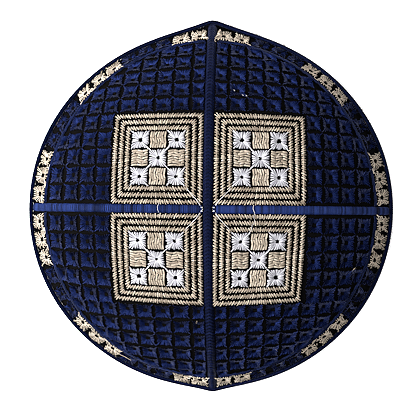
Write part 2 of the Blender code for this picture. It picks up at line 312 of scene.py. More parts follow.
def along_azimuth(azimuth_deg, slope=0.0):
    """The function that lays a point by its distance from the apex and its offset across.

    A slope draws what lies across into a chevron.
    """
    azimuth = math.radians(azimuth_deg)
    ahead_x, ahead_y = math.cos(azimuth), math.sin(azimuth)

    def lay(along, across, lift):
        along = along + slope * np.abs(across)
        return on_crown(ahead_x * along - ahead_y * across, ahead_y * along + ahead_x * across, lift)
    return lay


# Threads

# How a stitch rises from end to end, as shares of its run and parts of its full rise
SATIN = ((0.0, 0.0), (0.15, 0.8), (0.5, 1.0), (0.85, 0.8), (1.0, 0.0))
FLAT_SATIN = ((0.0, 0.0), (0.08, 0.7), (0.2, 0.95), (0.35, 1.0),
              (0.65, 1.0), (0.8, 0.95), (0.92, 0.7), (1.0, 0.0))
ROUND_SATIN = ((0.0, -0.4), (0.12, 0.3), (0.3, 0.85), (0.45, 1.0),
               (0.6, 1.0), (0.75, 0.8), (0.9, 0.3), (1.0, -0.4))
CARRIED = ((0.0, -0.3), (0.12, 1.0), (0.4, 1.15), (0.6, 1.15), (0.88, 1.0), (1.0, -0.3))

# A star's ray dives into the hole at its start; a high one stays up at its outer end. The
# shades are the shares of its tone at the same points: painted shade, darker where the ray
# goes into the cloth.
RAY = ((0.0, -0.6), (0.35, 0.15), (0.75, 0.85), (1.0, 1.0))
RAY_PAINTED_SHADE = (0.0, 0.7, 1.0, 0.9)
LOW_RAY = ((0.0, -0.5), (0.4, 0.15), (0.9, 1.0), (1.0, 0.3))
LOW_PAINTED_SHADE = (0.0, 0.7, 1.0, 0.0)


def arched(start, stop, rise, shape):
    """Threads from start to stop, as rows of points at the shares in shape, raised in between.

    start and stop are arrays of (p, q, lift); shape is pairs of share and part of the rise.
    """
    shares, parts = np.array(shape).T
    points = start[:, None, :] + (stop - start)[:, None, :] * shares[None, :, None]
    points[..., 2] += np.asarray(rise).reshape(-1, 1) * parts
    return points


class Sewing:
    """Threads of one colour, gathered to become one piece."""

    def __init__(self):
        self.runs = []

    def add(self, lay, points, radius, tone=None, shade=1.0):
        """Lays threads of an equal number of points, with a tone from 0, dark, to 1, bright.

        shade is how much of the tone is left at each point of a thread, a painted shade where it is below 1.
        """
        if not len(points):
            return
        placed = lay(*points.reshape(-1, 3).T).reshape(points.shape)
        if tone is None:
            tone = RNG.uniform(0.0, 1.0, len(points)) ** 2
        thick = radius * RNG.uniform(0.9, 1.1, len(points))
        tones = np.broadcast_to(tone, len(points))[:, None] * np.broadcast_to(shade, points.shape[1])
        self.runs.append((placed, thick, tones))

    def piece(self, name, material, slot, sides=5, replaces=()):
        """Makes the threads one mesh of lines, and sweeps them."""
        places, edges, radius, tone = [], [], [], []
        start = 0
        for placed, thick, tones in self.runs:
            count, length = placed.shape[:2]
            index = start + np.arange(count * length).reshape(count, length)
            edges.append(points_of(index[:, :-1], index[:, 1:]).reshape(-1, 2))
            places.append(placed.reshape(-1, 3))
            radius.append(np.repeat(thick, length))
            tone.append(tones.ravel())
            start += count * length
        mesh = bpy.data.meshes.new(name + "_lines")
        mesh.from_pydata(np.concatenate(places), np.concatenate(edges), [])
        for key, values in (("thickness", radius), ("tone", tone)):
            layer = mesh.attributes.new(key, "FLOAT", "POINT")
            layer.data.foreach_set("value", np.concatenate(values))
        sweep_strands(name, mesh, material, sides, replaces)


def strand_tree():
    """Nodes that sweep every run of edges to a round strand of its own thickness.

    They leave how far along and around the strand a point lies, for the thread's material.
    """
    tree = bpy.data.node_groups.new("thread_strands", "GeometryNodeTree")
    given = {}
    sockets = {"Lines": "Geometry", "Sides": "Int", "Thread": "Material"}
    for label, kind in sockets.items():
        tree.interface.new_socket(label, in_out="INPUT", socket_type="NodeSocket" + kind)
        given[label] = add_node(tree, "NodeGroupInput", result=label)
    tree.interface.new_socket("Strands", in_out="OUTPUT", socket_type="NodeSocketGeometry")
    line = add_node(tree, "GeometryNodeMeshToCurve", {"Mesh": given["Lines"]})
    ring = add_node(tree, "GeometryNodeCurvePrimitiveCircle", {"Resolution": given["Sides"], "Radius": 1.0},
                    mode="RADIUS")
    line, ring = (
        add_node(tree, "GeometryNodeStoreNamedAttribute",
                 {"Geometry": curve, "Name": name,
                  "Value": add_node(tree, "GeometryNodeSplineParameter", result=measure)},
                 data_type="FLOAT", domain="POINT")
        for curve, name, measure in ((line, "along", "Length"), (ring, "around", "Factor")))
    thickness = add_node(tree, "GeometryNodeInputNamedAttribute", {"Name": "thickness"}, data_type="FLOAT")
    strand = add_node(tree, "GeometryNodeCurveToMesh",
                      {"Curve": line, "Profile Curve": ring, "Scale": thickness, "Fill Caps": True})
    strand = add_node(tree, "GeometryNodeSetShadeSmooth", {"Geometry": strand})
    strand = add_node(tree, "GeometryNodeSetMaterial", {"Geometry": strand, "Material": given["Thread"]})
    add_node(tree, "NodeGroupOutput", {"Strands": strand})
    return tree


STRANDS = strand_tree()


def put_in_scene(name, data):
    holder = bpy.data.objects.new(name, data)
    bpy.context.scene.collection.objects.link(holder)
    return holder


def sweep_strands(name, lines, material, sides, replaces):
    """Runs the strand nodes on the lines, and keeps what they make as a plain mesh."""
    piece = put_in_scene(name, lines)
    modifier = piece.modifiers.new("strands", "NODES")
    modifier.node_group = STRANDS
    wanted = {"Sides": sides, "Thread": material}
    for item in STRANDS.interface.items_tree:
        if item.in_out == "INPUT" and item.name in wanted:
            modifier[item.identifier] = wanted[item.name]
    bpy.context.view_layer.update()
    depsgraph = bpy.context.evaluated_depsgraph_get()
    finished = piece.evaluated_get(depsgraph)
    made = bpy.data.meshes.new_from_object(finished, preserve_all_data_layers=True, depsgraph=depsgraph)
    piece.modifiers.remove(modifier)
    piece.data = made
    made.name = name
    bpy.data.meshes.remove(lines)
    settle(piece, replaces)


def settle(piece, replaces=()):
    """Tells the frame what carries a piece, and the solids that it stands in for."""
    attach(piece, "root")
    if replaces:
        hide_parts(*replaces)


# Cloth

def cloth_piece(name, top, bottom, wrap, material, replaces):
    """A closed sheet from grids of points for its faces; wrap joins its first and last rows."""
    points = np.concatenate([top.reshape(-1, 3), bottom.reshape(-1, 3)])
    below = len(points) // 2
    index = np.arange(below).reshape(top.shape[:2])
    borders = [index[:, 0][::-1], index[:, -1], index[0], index[-1][::-1]]
    if wrap:
        index = np.vstack([index, index[:1]])
        borders = [index[:, 0][::-1], index[:, -1]]
    quads = points_of(index[:-1, :-1], index[1:, :-1], index[1:, 1:], index[:-1, 1:]).reshape(-1, 4)
    faces = [*quads, *(below + quads[:, ::-1])]
    for line in borders:
        faces.extend(points_of(line[:-1], line[1:], below + line[1:], below + line[:-1]))
    mesh = bpy.data.meshes.new(name)
    mesh.from_pydata(points.tolist(), [], [face.tolist() for face in faces])
    make_outward(mesh)
    mesh.shade_smooth()
    mesh.set_sharp_from_angle(angle=math.radians(50))
    mesh.materials.append(material)
    settle(put_in_scene(name, mesh), replaces)


def make_outward(mesh):
    """Turns every face round if the closed mesh is inside out."""
    mesh.calc_loop_triangles()
    corners = np.array([[mesh.vertices[v].co[:] for v in t.vertices] for t in mesh.loop_triangles])
    volume = np.einsum("ij,ij->i", corners[:, 0], np.cross(corners[:, 1], corners[:, 2])).sum()
    if volume < 0.0:
        mesh.flip_normals()


def pucker(azimuth, along, size):
    """Small uneven waves, about 20 mm long, that sewing leaves in cloth."""
    return size * (np.sin(azimuth * 23.0 + 1.3 * np.sin(along * 90.0)) * np.sin(along * 310.0 + 2.0)
                   + 0.6 * np.sin(azimuth * 41.0 + along * 170.0))


def make_gore_cloth(gore, material):
    """A quarter of the crown, drawn from the apex to the shoulder."""
    turns = np.linspace(0.0, math.pi / 2, 61)
    outs = np.linspace(0.002, 1.0, 45)
    length = cloth_length(gore_azimuth(gore, turns))
    edge = np.maximum(points_of(length * np.cos(turns), length * np.sin(turns)), SEAM_GAP)
    flat = SEAM_GAP + (edge[:, None, :] - SEAM_GAP) * outs[None, :, None]
    u, v = flat[..., 0], flat[..., 1]
    fade = np.sin(np.pi * outs)[None, :] * np.sin(2 * turns)[:, None]
    lift = fade * pucker(turns[:, None], np.hypot(u, v), 0.1 * MM) - CLOTH_BELOW_SOLID
    lay = on_gore(gore)
    top, bottom = lay(u, v, lift), lay(u, v, -WALL + 0.0 * u)
    cloth_piece("cloth_" + gore, top, bottom, False, material, ["gore_" + gore])


def make_band_cloth(material):
    """The upright wall, from inside the brim's tape to just below the crown."""
    azimuth = np.radians(np.arange(0.0, 360.0, 1.0))[:, None]
    share = np.linspace(0.0, 1.0, 19)[None, :]
    foot = BINDING_THICK + GAP
    top_edge = shoulder_height(azimuth) - SHOULDER_GAP
    height = foot + (top_edge - foot) * share
    inner_height = foot + (top_edge - WALL - foot) * share
    lift = np.sin(np.pi * share) * pucker(azimuth, height, 0.12 * MM) - CLOTH_BELOW_SOLID
    outer = on_band(azimuth, height, lift)
    inner = on_band(azimuth, inner_height, -WALL)
    cloth_piece("cloth_band", outer, inner, True, material, ["side_band"])


def make_binding(material):
    """The folded tape round the brim, with a soft fold at its foot.

    Its face is drawn by (lift, height) from the top outside, down, under and up to the top inside.
    """
    azimuth = np.radians(np.arange(0.0, 360.0, 1.0))[:, None]
    face = GAP + BINDING_THICK
    outside = [(GAP, BINDING_HEIGHT - 0.2 * MM), (GAP + 0.45 * MM, BINDING_HEIGHT),
               (face, BINDING_HEIGHT - 0.5 * MM), (face, 3.5 * MM), (face, 0.8 * MM),
               (face - 0.35 * MM, 0.0)]
    inside = [(-WALL - lift, height) for lift, height in outside[::-1]]
    lift, height = (values[None, :] for values in np.array(outside + inside).T)
    lift[0, 3] += 0.1 * MM
    ripple = 0.12 * MM * np.sin(azimuth * 70.0) * np.clip(height / BINDING_HEIGHT, 0.0, 1.0) * (lift > 0.0)
    outer = on_band(azimuth, height, lift + ripple)
    core = on_band(azimuth, np.clip(height, BINDING_THICK, None), np.clip(lift, -WALL - GAP, GAP))
    cloth_piece("binding_tape", outer, core, True, material, ["brim_binding"])


# Star stitches

def star_rays(p, q, half_p, half_q, per_side, bow, hole=0.2, rise=0.6, foot=0.0, ragged=0.08, keep=None,
              apart=0.1, shape=LOW_RAY):
    """Pairs of threads from the hole in the middle of a cell to its edge, longest at the corners.

    hole, bow, ragged and apart are shares of the cell's half size: the hole's radius, how far its
    sides curve in, how uneven they are, and the distance within a pair. keep says where a ray
    may lie, and rise and foot are in millimetres.
    """
    count = 4 * per_side
    t = np.tile(-1.0 + 2.0 * np.arange(per_side) / per_side, 4) + RNG.uniform(-0.06, 0.06, count)
    reach = 1.0 - bow * (1.0 - t**2) + RNG.uniform(-1.0, 0.6, count) * ragged
    reach[np.abs(t) > 0.93] += 0.05
    turn = np.repeat(np.arange(4), 2 * per_side) * math.pi / 2
    t = np.repeat(t, 2) + np.tile((-apart / 2, apart / 2), count)
    reach = np.repeat(reach, 2) + RNG.uniform(-0.02, 0.02, 2 * count)
    dp = (np.cos(turn) - np.sin(turn) * t) * reach * half_p
    dq = (np.sin(turn) + np.cos(turn) * t) * reach * half_q
    first = hole * RNG.uniform(0.65, 1.35, len(t)) / (reach * np.hypot(1.0, t))
    last = np.ones(len(t))
    if keep is not None:
        for step in np.linspace(0.05, 1.0, 24):
            inside = keep(p + dp * step, q + dq * step)
            last = np.where(inside | (last < step), last, step - 0.05)
    good = last > first + 0.12
    dp, dq, first, last = dp[good], dq[good], first[good], last[good]
    start = points_of(p + dp * first, q + dq * first, foot * MM)
    stop = points_of(p + dp * last, q + dq * last, foot * MM)
    return arched(start, stop, rise * RNG.uniform(0.85, 1.15, len(dp)) * MM, shape)


def pairs(low, high, pitch, apart):
    """Places of stitches that lie in pairs, with a slit between one pair and the next."""
    count = max(1, int(round((high - low) / pitch)))
    middles = low + (np.arange(count) + 0.5) * (high - low) / count
    return np.add.outer(middles, (-apart / 2, apart / 2)).ravel()


def by_pair(low, high, count):
    """A random number for each pair of stitches, given to both."""
    return np.repeat(RNG.uniform(low, high, count // 2), 2)


def inside_ring(gore):
    """The function that says which points are clear of the ring line and the seams."""
    def keep(u, v):
        azimuth = gore_azimuth(gore, np.arctan2(v, u))
        clear = (u > STAR_FROM_LONG_SEAM) & (v > STAR_FROM_SIDE_SEAM)
        return clear & (np.hypot(u, v) < ring_distance(azimuth) - STAR_FROM_RING)
    return keep


def crown_cells(gore):
    """Middles and half sizes of the star cells on a gore's flat pattern."""
    rows = END_ROWS[gore.split("_")[0]]
    fields = ((SIDE_COLUMNS, SIDE_ROWS, SIDE_HALVES), (SEAM_COLUMN, rows, SEAM_HALVES),
              (END_COLUMNS, rows, END_HALVES), (CORNER_COLUMNS, rows, CORNER_HALVES))
    return [(u, v, *halves) for columns, lines, halves in fields for u in columns for v in lines]


def make_crown_stars(gore, materials):
    """The stars inside the ring line, and with them the row outside it.

    A cell that the ring line cuts gets a smaller star, in the middle of what is left of it. A
    star's side is painted brighter where it faces away from the apex, and painted darker where
    it faces it, as the light from above falls on the dome.
    """
    navy, beige = Sewing(), Sewing()
    lay = on_gore(gore)
    keep = inside_ring(gore)
    grid = np.linspace(-0.9, 0.9, 13)
    for u, v, half_u, half_v in crown_cells(gore):
        u, v = u + RNG.normal(0.0, 0.12) * MM, v + RNG.normal(0.0, 0.12) * MM
        at_u, at_v = np.meshgrid(u + grid * half_u, v + grid * half_v)
        inside = keep(at_u, at_v)
        if inside.mean() < LEAST_OF_A_CELL:
            continue
        if not keep(np.array([u]), np.array([v]))[0]:
            u, v = at_u[inside].mean(), at_v[inside].mean()
        rays = star_rays(u, v, half_u, half_v, 7, 0.07, hole=0.17, rise=1.1, ragged=0.12,
                         keep=keep, shape=RAY)
        reach = rays[:, -1, :2] - rays[:, 0, :2]
        quarter = np.floor(np.arctan2(reach[:, 1], reach[:, 0]) / (math.pi / 2) + 0.5)
        side = quarter * math.pi / 2
        # Painted light and shade: a side that faces away from the apex gets a lighter tone, a side that
        # faces it a darker one.
        away = (np.cos(side) * u + np.sin(side) * v) / math.hypot(u, v)
        patchy = RNG.normal(0.0, 0.2, 5)[quarter.astype(int) + 2]
        tone = np.clip(0.5 + 0.45 * away + patchy, 0.08, 1.0) * RNG.uniform(0.25, 1.0, len(rays))
        navy.add(lay, rays, THREAD * 0.78, tone, RAY_PAINTED_SHADE)
    outer_row(gore, navy, beige)
    navy.piece("stars_navy_" + gore, materials["navy"], "navy_thread", sides=3)
    beige.piece("stars_beige_" + gore, materials["beige"], "beige_thread", sides=5)


def outer_row(gore, navy, beige):
    """The row of stars between the ring line and the shoulder, some of them beige.

    They narrow outwards, and a curl of thread runs from one beige star to the next.
    """
    lay_round = along_ring(gore)
    for number, turn in enumerate(OUTER_TURNS):
        light = number in OUTER_BEIGE
        sewing = beige if light else navy
        turn += RNG.normal(0.0, 0.004)
        size = RNG.uniform(0.95, 1.04)
        rays = star_rays(turn, OUTER_FROM_RING, OUTER_HALF_TURN * 0.86 * size, OUTER_HALF * size, 6, 0.08,
                         hole=0.2, rise=0.9, ragged=0.26, apart=0.06)
        outward = (rays[..., 1] - OUTER_FROM_RING) / OUTER_HALF
        rays[..., 0] = turn + (rays[..., 0] - turn) * (1.0 - 0.15 * outward)
        tone = RNG.uniform(0.15, 1.2, len(rays)).clip(0.0, 1.0) if light else None
        sewing.add(lay_round, rays, THREAD * 0.75, tone, 1.0 if light else LOW_PAINTED_SHADE)
        if light and number + 1 in OUTER_BEIGE:
            curl = np.array([(0.72, 1.7, 0.2), (0.9, 1.15, 0.6), (1.1, 1.1, 0.6), (1.3, 1.6, 0.2)])
            curl = (turn, 0.0, 0.0) + curl * (OUTER_HALF_TURN, MM, MM)
            sewing.add(lay_round, curl[None], THREAD * 1.1, 0.9)


def make_band_stars(gore, materials):
    """Four rows of smaller stars on the band below a gore, with beige ones in its outer rows."""
    navy, beige = Sewing(), Sewing()
    foot = BINDING_HEIGHT + BAND_STARS_CLEAR

    def lay_strip(turn, share, lift):
        azimuth = gore_azimuth(gore, turn)
        top = shoulder_height(azimuth) - BAND_STARS_BELOW_CORD
        return on_band(azimuth, foot + (top - foot) * share, lift)

    for row in range(BAND_ROWS):
        for number, turn in enumerate(OUTER_TURNS):
            light = number in BAND_BEIGE and row in (0, BAND_ROWS - 1)
            rays = star_rays(turn, (row + 0.5) / BAND_ROWS, OUTER_HALF_TURN * 0.9, 0.43 / BAND_ROWS,
                             5, 0.12, hole=0.24, rise=0.8)
            sewing = beige if light else navy
            sewing.add(lay_strip, rays, THREAD * 0.9, shade=1.0 if light else LOW_PAINTED_SHADE)
    navy.piece("band_stars_navy_" + gore, materials["navy"], "navy_thread", sides=3)
    beige.piece("band_stars_beige_" + gore, materials["beige"], "beige_thread", sides=3)


# Medallions

def by_hand(gore):
    """Lays a medallion's flat points with the small shifts of its corners that hand work leaves."""
    shifts = np.array(HAND_SHIFTS.get(gore, NOT_MOVED)) * MM
    lay = on_gore(gore)

    def lay_shifted(u, v, lift):
        a, b = (u - MEDALLION_CORNER[0]) / MEDALLION_SIDE, (v - MEDALLION_CORNER[1]) / MEDALLION_SIDE
        moved = points_of((1 - a) * (1 - b), a * (1 - b), a * b, (1 - a) * b) @ shifts
        return lay(u + moved[..., 0], v + moved[..., 1], lift)
    return lay_shifted


def make_frame_stitches(gore, material):
    """Stitches across the three square frames, slanted like the mitres near the corners.

    They lie in pairs, closer together in the middle of a side, over one line of padding in the
    darkest tone, a painted shade in the slits that keeps them from showing the cloth.
    """
    sewing = Sewing()
    middle_u, middle_v = MEDALLION_CORNER + MEDALLION_SIDE / 2
    lay = by_hand(gore)

    def beside(turn, along, across, lift):
        """Points of the side that faces a turn, by their places along and across it."""
        u = middle_u + across * math.cos(turn) - along * math.sin(turn)
        v = middle_v + across * math.sin(turn) + along * math.cos(turn)
        return points_of(u, v, lift)

    for number in range(3):
        half = MEDALLION_SIDE / 2 - FRAME_PITCH * number
        for turn in np.arange(4) * math.pi / 2:
            reach = half - FRAME_WIDTH / 2
            padding = beside(turn, np.linspace(-reach, reach, 25), reach, 0.0)
            # The padding's darkest tone is painted shade for the slits between the pairs.
            sewing.add(lay, padding[None], FRAME_PADDING, 0.0)
            place = pairs(-half + 0.1 * MM, half - 0.1 * MM, FRAME_STITCH_PITCH, 0.0)
            place = place * (0.9 + 0.1 * (place / half) ** 2)
            count = len(place)
            share = np.clip(np.abs(place) / half, 0.0, 1.0)
            slant = 0.52 * np.sin(np.clip(share / 0.5, 0.0, 1.0) * math.pi / 2) + 0.35 * share**8
            close = 1.0 / np.hypot(1.0, slant)
            jitter = by_pair(-0.16, 0.16, count) * MM
            place = place + jitter + 0.17 * MM * close * np.tile((-1.0, 1.0), count // 2)
            inner = place - FRAME_WIDTH * slant * np.sign(place)
            uneven = 0.14 * np.repeat((-1.0) ** np.arange(count // 2), 2)
            outer_end = half - 0.2 * MM + (uneven + by_pair(-0.14, 0.14, count)) * MM
            inner_end = half - FRAME_WIDTH + 0.25 * MM + (by_pair(-0.14, 0.14, count) - uneven) * MM
            start = beside(turn, place, outer_end, 0.12 * MM)
            stop = beside(turn, inner, inner_end, 0.12 * MM)
            stitches = arched(start, stop, by_pair(0.5, 0.75, count) * MM, SATIN)
            sewing.add(lay, stitches, FRAME_THREAD * close, by_pair(0.0, 1.0, count))
    nodes = ["frame_" + ring + "_" + gore for ring in ("outer", "middle", "inner")]
    sewing.piece("frame_stitches_" + gore, material, "beige_thread", sides=4, replaces=nodes)


def make_checker_stitches(gore, materials):
    """The nine blocks inside the frames: white stars and beige blocks of rippled stitches.

    A white thread is carried from star to star, and one more to a knot where the seams cross.
    """
    white, beige = Sewing(), Sewing()
    lay = by_hand(gore)
    inset = 2 * FRAME_PITCH + FRAME_WIDTH + CHECKER_MARGIN
    side = MEDALLION_SIDE - 2 * inset
    block = (side - 2 * CHECKER_GAP) / 3
    first = MEDALLION_CORNER + inset - (CHECKER_SLIP.get(gore, 0.0), 0.0)
    middles = [block / 2 + i * (block + CHECKER_GAP) for i in range(3)]
    for i in range(3):
        for j in range(3):
            u, v = first + (middles[i], middles[j])
            if (i + j) % 2 == 0:
                half = block / 2 * RNG.uniform(0.97, 1.03)
                # The lower layer of rays takes the darkest tone, painted shade in the gaps under the upper
                # rays.
                for foot, rise in ((0.05, 0.9), (-0.2, 0.6)):
                    rays = star_rays(u, v, half, half, 6, 0.07, hole=0.19, rise=rise, foot=foot, ragged=0.13)
                    white.add(lay, rays, THREAD * 0.9, None if foot > 0 else 0.0)
            else:
                beige_block(beige, lay, u, v, block / 2, upright=i == 1)
    centre = first + middles[1]
    for i in (0, 2):
        for j in (0, 2):
            corner = first + (middles[i], middles[j])
            way = (centre - corner) * 0.22
            jump_thread(white, lay, corner + way, centre - way, 0.2 * MM, 0.8 * MM)
    crossing = np.array([LONG_SEAM_WIDTH / 2 + 0.9 * MM, 0.9 * MM])
    jump_thread(white, lay, first - FRAME_PITCH * 0.4, crossing, 0.3 * MM, 0.7 * MM)
    knot = [*crossing, 0.0] + np.array([(-0.4, 0.1, 0.9), (0.1, -0.1, 1.2), (0.4, 0.2, 0.9)]) * MM
    white.add(lay, knot[None], 0.26 * MM, 0.9)
    white.piece("checker_white_" + gore, materials["white"], "white_thread", replaces=["checker_" + gore])
    beige.piece("checker_beige_" + gore, materials["beige"], "beige_thread", sides=4)


def jump_thread(sewing, lay, start, stop, low, rise):
    """One loose thread carried from one place to another, not quite straight."""
    ends = [np.array([[*place, low]]) for place in (start, stop)]
    line = arched(*ends, rise, CARRIED)
    across = (stop - start)[::-1] * (-1.0, 1.0)
    across = across / np.linalg.norm(across) * 0.25 * MM
    wander = np.sin(np.linspace(0.0, 2.6 * math.pi, line.shape[1]))
    line[0, :, :2] += across[None, :] * wander[:, None]
    sewing.add(lay, line, 0.15 * MM, 0.7)


def beige_block(sewing, lay, u, v, half, upright):
    """Brick stitches in ripples: staggered stitches, three to a column, columns in pairs."""
    def in_block(along, across, lift):
        return points_of(u + across, v + along, lift) if upright else points_of(u + along, v + across, lift)

    # Padding under the columns, in the darkest tone: painted shade in the slits between them.
    for aside in np.linspace(-0.8, 0.8, 5) * half:
        padding = in_block(np.linspace(-0.86, 0.86, 7) * half, aside, -0.1 * MM)
        sewing.add(lay, padding[None], PADDING_THREAD, 0.0)
    offset = pairs(-half + 0.05 * MM, half - 0.05 * MM, BLOCK_STITCH_PITCH, 0.44 * MM)
    columns = len(offset)
    wave = np.sin(np.repeat(np.arange(columns // 2), 2) * 2.1 + RNG.uniform(0.0, 6.0))
    marks = [-half, (-0.36 + 0.16 * wave) * half, (0.34 - 0.16 * wave) * half, half]
    lean = 0.8 * MM * np.sin(np.linspace(0.5, 2.6, columns))
    for low, high, bend in zip(marks[:-1], marks[1:], (-1.0, 1.0, -1.0)):
        ends = []
        for reach, sway in ((low + 0.16 * MM, -bend * lean), (high - 0.16 * MM, bend * lean)):
            along = reach + RNG.uniform(-0.08, 0.08, columns) * MM
            ends.append(in_block(along, offset + sway * 0.5, 0.3 * MM))
        stitches = arched(*ends, 0.4 * MM, SATIN)
        sewing.add(lay, stitches, BLOCK_THREAD, by_pair(0.3, 1.0, columns))


# Bars, lines, cord and brim

def satin_across(sewing, lay, stations, width, unevenness, shape, ripple=None):
    """Threads laid side by side over padding; lay takes (station, across, lift).

    ripple is the distance from one crest to the next where the bar is not smooth; the
    furrows between the crests get painted shade.
    """
    run = np.linspace(stations[0] - 0.4 * MM, stations[-1], 41)
    # Padding in the darkest tone: painted shade where it shows between the stitches.
    for aside in (-0.24, 0.0, 0.24):
        padding = points_of(run, aside * width, GAP + 0.25 * SEAM_HEIGHT)
        sewing.add(lay, padding[None], PADDING_THREAD, 0.0)
    count = len(stations)
    at = stations + RNG.uniform(-unevenness, unevenness, count)
    slip = RNG.uniform(-unevenness, unevenness, count)
    half = width / 2 + RNG.uniform(0.0, 0.16, count) * MM
    start = points_of(at, -half, GAP - 0.25 * MM)
    stop = points_of(at + slip, half, GAP - 0.25 * MM)
    rise = SEAM_HEIGHT + 0.15 * MM + RNG.uniform(0.0, 0.2, count) * MM
    blend = np.convolve(RNG.uniform(-0.2, 1.4, count + 2), [0.3, 0.4, 0.3], "valid")
    tone = np.clip(blend, 0.0, 1.0)
    # The furrows sink, and their tone is painted darker towards each furrow: painted shade.
    if ripple is not None:
        crest = 0.5 + 0.5 * np.cos(2.0 * math.pi * stations / ripple)
        rise = rise - 0.6 * MM * (1.0 - crest)
        tone = (0.4 + 0.6 * tone) * crest
    sewing.add(lay, arched(start, stop, rise, shape), SATIN_THREAD, tone)


def make_seam_threads(materials):
    """The bars over the seams. The long one rises in chevrons that all point to the back."""
    long_seam, side_seams = Sewing(), Sewing()
    reach = CLOTH_TO_END - SEAM_END_CLEAR
    for end, slope in ((GORES["back_right"][1], -CHEVRON_SLOPE), (GORES["front_left"][1], CHEVRON_SLOPE)):
        satin_across(long_seam, along_azimuth(end, slope), np.arange(0.2 * MM, reach, SATIN_PITCH),
                     LONG_SEAM_WIDTH + 0.45 * MM, 0.05 * MM, ROUND_SATIN, ripple=CHEVRON_PITCH)

        def down_band(height, across, lift, azimuth=math.radians(end)):
            return on_band(azimuth + across / SHOULDER_HALF_WIDTH, height, lift)
        stations = np.arange(BINDING_HEIGHT + 0.6 * MM, SHOULDER_HEIGHT_END - 1.8 * MM, SATIN_PITCH)
        satin_across(long_seam, down_band, stations, LONG_SEAM_WIDTH, 0.05 * MM, ROUND_SATIN)
    first, last = LONG_SEAM_WIDTH / 2 + 0.9 * MM, CLOTH_TO_SIDE - SEAM_END_CLEAR
    even = np.arange(first, last, SATIN_PITCH)
    open_pairs = pairs(first, last, OPEN_SATIN_PITCH, 0.46 * MM)
    for side, stations in ((GORES["back_right"][0], even), (GORES["back_left"][0], open_pairs)):
        satin_across(side_seams, along_azimuth(side), stations, SIDE_SEAM_WIDTH, 0.06 * MM, FLAT_SATIN)
    # The long seam takes the shaded copy of the navy, painted dark as if no highlight falls on it; the side
    # seams take the lit copy, painted brighter.
    long_seam.piece("satin_long_seam", materials["shaded_navy"], "navy_thread", sides=4,
                    replaces=["seam_front_to_back", "band_seam_back", "band_seam_front"])
    side_seams.piece("satin_side_seams", materials["lit_navy"], "navy_thread", sides=4,
                     replaces=["seam_left", "seam_right"])


def make_ring_threads(gore, material):
    """Stem stitches along the ring line: long, slightly slanted and overlapping, in three lanes."""
    sewing = Sewing()
    clear = 2.6 * MM / CLOTH_TO_SIDE
    pitch, length = 0.045, 0.062
    for lane in (-0.58, 0.0, 0.58):
        starts = np.arange(clear, math.pi / 2 - clear - 0.06, pitch) + RNG.uniform(0.0, 0.012)
        start = points_of(starts, (lane - 0.1) * MM, GAP)
        stop = points_of(starts + length, (lane + 0.1) * MM, GAP)
        rise = RING_HEIGHT + 0.1 * MM - 0.35 * abs(lane) * MM
        stitches = arched(start, stop, rise, SATIN)
        sewing.add(along_ring(gore), stitches, 0.22 * MM, RNG.uniform(0.0, 0.35, len(starts)))
    # The ring line takes the lit copy of the navy, whose brighter shades are painted light.
    sewing.piece("ring_threads_" + gore, material, "navy_thread", replaces=["ring_line_" + gore])


def make_cord(material):
    """Thread wound slantwise over the cord in the shoulder's corner, on a core and a filler."""
    sewing = Sewing()
    wound_radius = CORD_RADIUS * 0.86

    def round_cord(azimuth, turn, out):
        height = shoulder_height(azimuth)
        foot = on_band(azimuth, height, CORD_STAND_OFF)
        outward = unit(on_band(azimuth, height, 1.0) - on_band(azimuth, height, 0.0))
        foot[..., 2] += CORD_STAND_OFF / 3
        upward = np.array([0.0, 0.0, 1.0])
        reach = outward * np.cos(turn)[..., None] + upward * np.sin(turn)[..., None]
        return foot + reach * (wound_radius + out)[..., None]

    wraps = 1150
    starts = np.linspace(0.0, 2 * math.pi, wraps, endpoint=False)
    angles = np.linspace(-2.0, 3.4, 6)
    slant = np.linspace(0.0, 0.008, len(angles))
    points = points_of(starts[:, None] + slant, angles, 0.05 * MM)
    sewing.add(round_cord, points, 0.3 * MM, RNG.uniform(0.0, 0.4, wraps))
    # The core and the filler take the darkest tone, painted shade under the wraps and in the corner.
    ring = np.linspace(0.0, 2 * math.pi, 361)
    core = points_of(ring, 0.0, -wound_radius)
    sewing.add(round_cord, core[None], 0.75 * MM, 0.0)
    filler = points_of(ring, shoulder_height(ring) - 0.7 * MM, 0.3 * MM)
    sewing.add(on_band, filler[None], 0.55 * MM, 0.0)
    sewing.piece("cord_wrap", material, "navy_thread", sides=3, replaces=["shoulder_cord"])


def make_loose_threads(materials):
    """Thread ends and lint left on the hat, and beige threads that stand out past the cord."""
    white, beige = Sewing(), Sewing()
    on_seam = GAP + SEAM_HEIGHT + 0.5 * MM
    for sewing, places, low in ((white, LOOSE_WHITE, on_seam), (beige, LOOSE_BEIGE, 0.9 * MM)):
        for place in places:
            line = np.array([[(x * MM, y * MM, low) for x, y in place]])
            line[0, 1:-1, 2] += 0.35 * MM
            sewing.add(on_crown, line, LOOSE_THREAD, 0.4)
    for first, last, count in PAST_CORD:
        azimuth = np.radians(np.linspace(first, last, count) + RNG.uniform(-0.4, 0.4, count))
        top = shoulder_height(azimuth)
        lean = RNG.uniform(-0.012, 0.012, count)
        lift = RNG.uniform(2.2, 2.7, count) * MM
        drop = RNG.uniform(0.0, 1.2, count) * MM
        threads = np.stack([points_of(azimuth, top - 3.6 * MM - drop, 0.7 * MM),
                            points_of(azimuth + 0.5 * lean, top - 1.8 * MM - drop, 0.9 * lift),
                            points_of(azimuth + lean, top - 0.6 * MM - drop, lift)], axis=1)
        beige.add(on_band, threads, 0.14 * MM)
    white.piece("loose_threads_white", materials["white"], "white_thread")
    beige.piece("loose_threads_beige", materials["beige"], "beige_thread")


